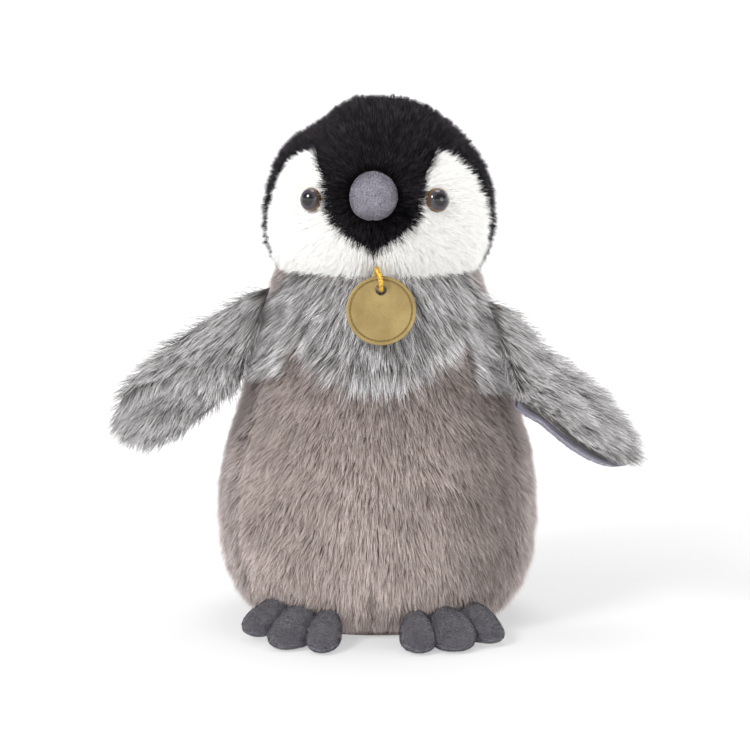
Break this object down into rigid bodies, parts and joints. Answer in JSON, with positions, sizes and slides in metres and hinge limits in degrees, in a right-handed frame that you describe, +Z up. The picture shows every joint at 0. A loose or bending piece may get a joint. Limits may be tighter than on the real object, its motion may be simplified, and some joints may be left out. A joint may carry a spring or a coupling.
{
  "type": "plush penguin",
  "caption": "Standing soft toy penguin chick with pile fabric panels, sewn flippers, felt beak, suede feet, glossy eyes and a round hang tag.",
  "frame": {"origin": "on the surface it stands on, under the middle of its bounding box", "axes": "+Z up; the face looks along -Y; +X is the viewer's right, the toy's own left side"},
  "size_m": [0.234, 0.135, 0.2305],
  "materials": {
    "taupe_pile": "medium pile plush, brown-taupe with paler tips",
    "pale_taupe_pile": "medium pile plush, paler taupe",
    "frosted_grey_pile": "long pile plush, dark roots and silver-white tips",
    "base_velour": "short pile velour",
    "black_pile": "dense short pile plush, black",
    "white_pile": "dense short pile plush, white",
    "grey_felt": "brushed felt",
    "slate_suede": "suede cloth, matte",
    "lavender_suede": "suede cloth, matte",
    "eye_gloss": "polished, dark brown rim and black pupil",
    "washer_plastic": "moulded, natural",
    "fibre_fill": "loose polyester fibre",
    "pouch_cotton": "plain woven cotton",
    "plastic_pellets": "loose pellets",
    "gold_card": "satin gold, pressed ring",
    "gold_thread": "twisted metallic thread",
    "satin_label": "woven satin, blank"
  },
  "bodies": {
    "root": {"belly_panel": "taupe_pile", "back_panel_left": "pale_taupe_pile", "back_panel_right": "pale_taupe_pile", "bib_panel": "frosted_grey_pile", "base_panel": "base_velour", "body_stuffing": "fibre_fill", "pellet_pouch": "pouch_cotton", "pellet_fill": "plastic_pellets", "face_blaze_panel": "black_pile", "cheek_panel_left": "white_pile", "cheek_panel_right": "white_pile", "hood_panel_left": "black_pile", "hood_panel_right": "black_pile", "head_stuffing": "fibre_fill", "beak_cover": "grey_felt", "beak_stuffing": "fibre_fill", "eye_left": "eye_gloss", "eye_right": "eye_gloss", "eye_washer_left": "washer_plastic", "eye_washer_right": "washer_plastic", "foot_left_top": "slate_suede", "foot_left_sole": "slate_suede", "foot_left_stuffing": "fibre_fill", "foot_right_top": "slate_suede", "foot_right_sole": "slate_suede", "foot_right_stuffing": "fibre_fill", "tail_cover": "taupe_pile", "tail_stuffing": "fibre_fill", "care_label": "satin_label"},
    "flipper_left": {"flipper_left_fur": "frosted_grey_pile", "flipper_left_lining": "lavender_suede", "flipper_left_stuffing": "fibre_fill"},
    "flipper_right": {"flipper_right_fur": "frosted_grey_pile", "flipper_right_lining": "lavender_suede", "flipper_right_stuffing": "fibre_fill"},
    "tag": {"tag_disc": "gold_card", "tag_cord": "gold_thread"}
  },
  "joints": [
    {"name": "flipper_left_seam", "type": "hinge", "parent": "root", "child": "flipper_left", "pos_m": [-0.056, -0.0234, 0.119], "axis": [0.3289, 0.094, 0.9397], "range_deg": [-30, 60], "stiffness_Nm_per_rad": 0.02},
    {"name": "flipper_right_seam", "type": "hinge", "parent": "root", "child": "flipper_right", "pos_m": [0.0576, -0.0234, 0.112], "axis": [0.3422, -0.0856, -0.9357], "range_deg": [-30, 50], "stiffness_Nm_per_rad": 0.02},
    {"name": "tag_swing", "type": "hinge", "parent": "root", "child": "tag", "pos_m": [0, -0.0464, 0.1582], "axis": [-1, 0, 0], "range_deg": [0, 35]}
  ]
}
